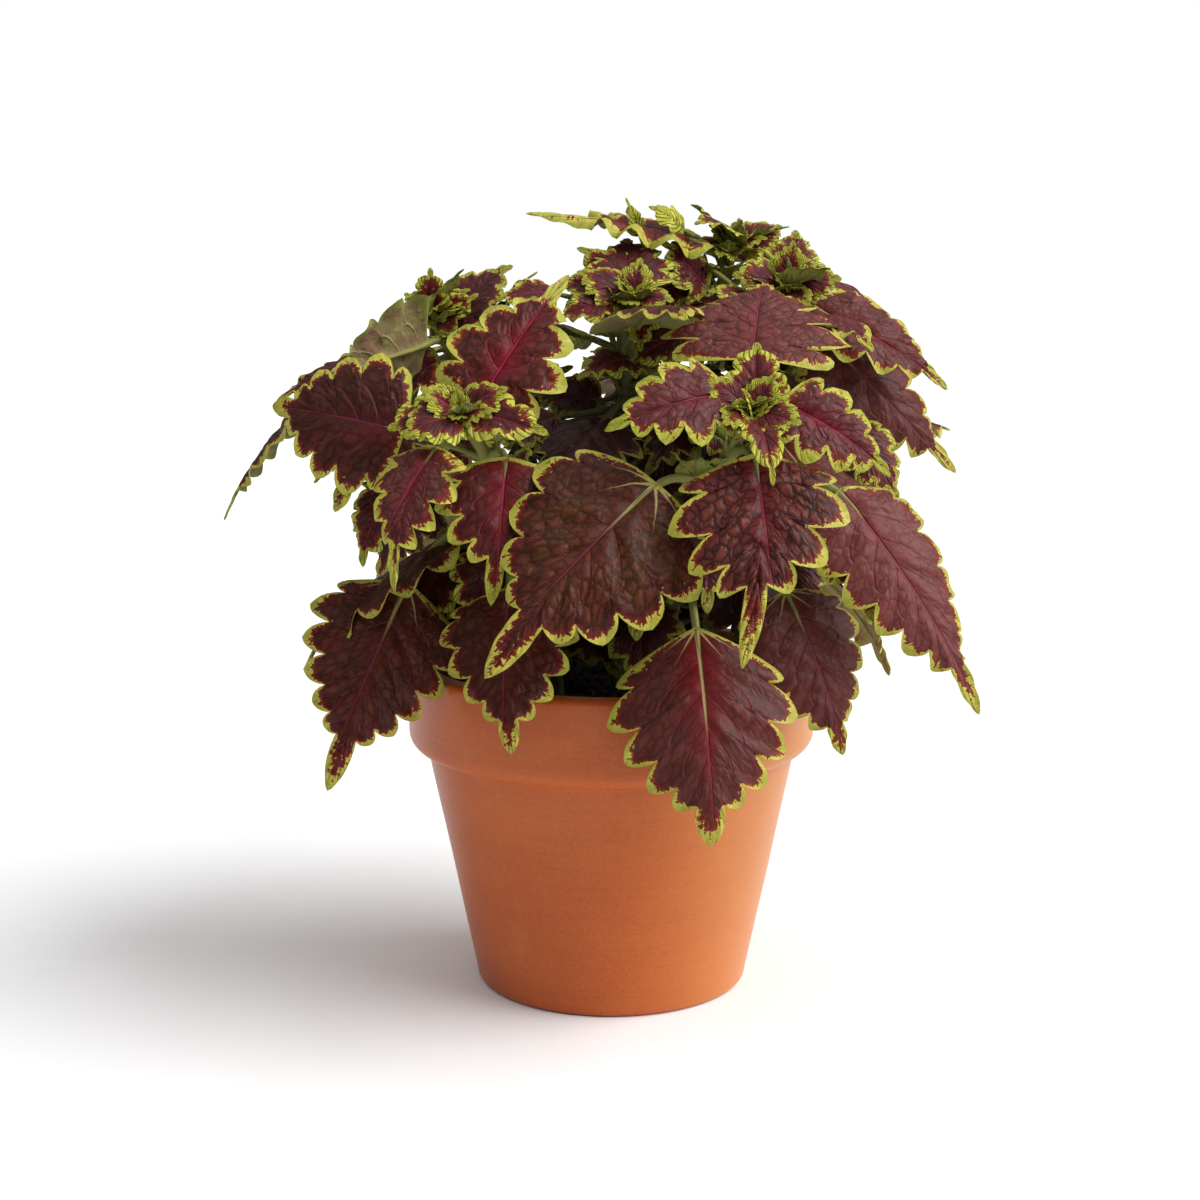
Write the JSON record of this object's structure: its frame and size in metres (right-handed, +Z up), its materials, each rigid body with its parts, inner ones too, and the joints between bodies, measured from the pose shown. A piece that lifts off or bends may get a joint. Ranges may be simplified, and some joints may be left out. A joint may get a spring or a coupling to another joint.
{
  "type": "potted coleus",
  "caption": "Bushy coleus with paired, lobed, pale-edged dark leaves on square stems, standing in the soil of a round flower pot with a rolled rim.",
  "frame": {"origin": "centre of the pot's foot, on the surface that it stands on", "axes": "+Z up along the pot's axis, -Y to the front, +X to the right as seen from the front"},
  "size_m": [0.2742, 0.2554, 0.29],
  "materials": {
    "terracotta": "matt unglazed clay",
    "soil": "damp crumbly potting soil",
    "foliage": "soft satin leaf, maroon with a yellow-green edge"
  },
  "bodies": {
    "root": {"pot": "terracotta", "soil": "soil", "stem_front_left": "foliage", "stem_front_right": "foliage", "stem_middle": "foliage", "stem_top": "foliage", "stem_upper_left": "foliage", "stem_upper_right": "foliage", "stem_back_left": "foliage", "stem_back": "foliage", "stem_back_right": "foliage"}
  },
  "joints": []
}
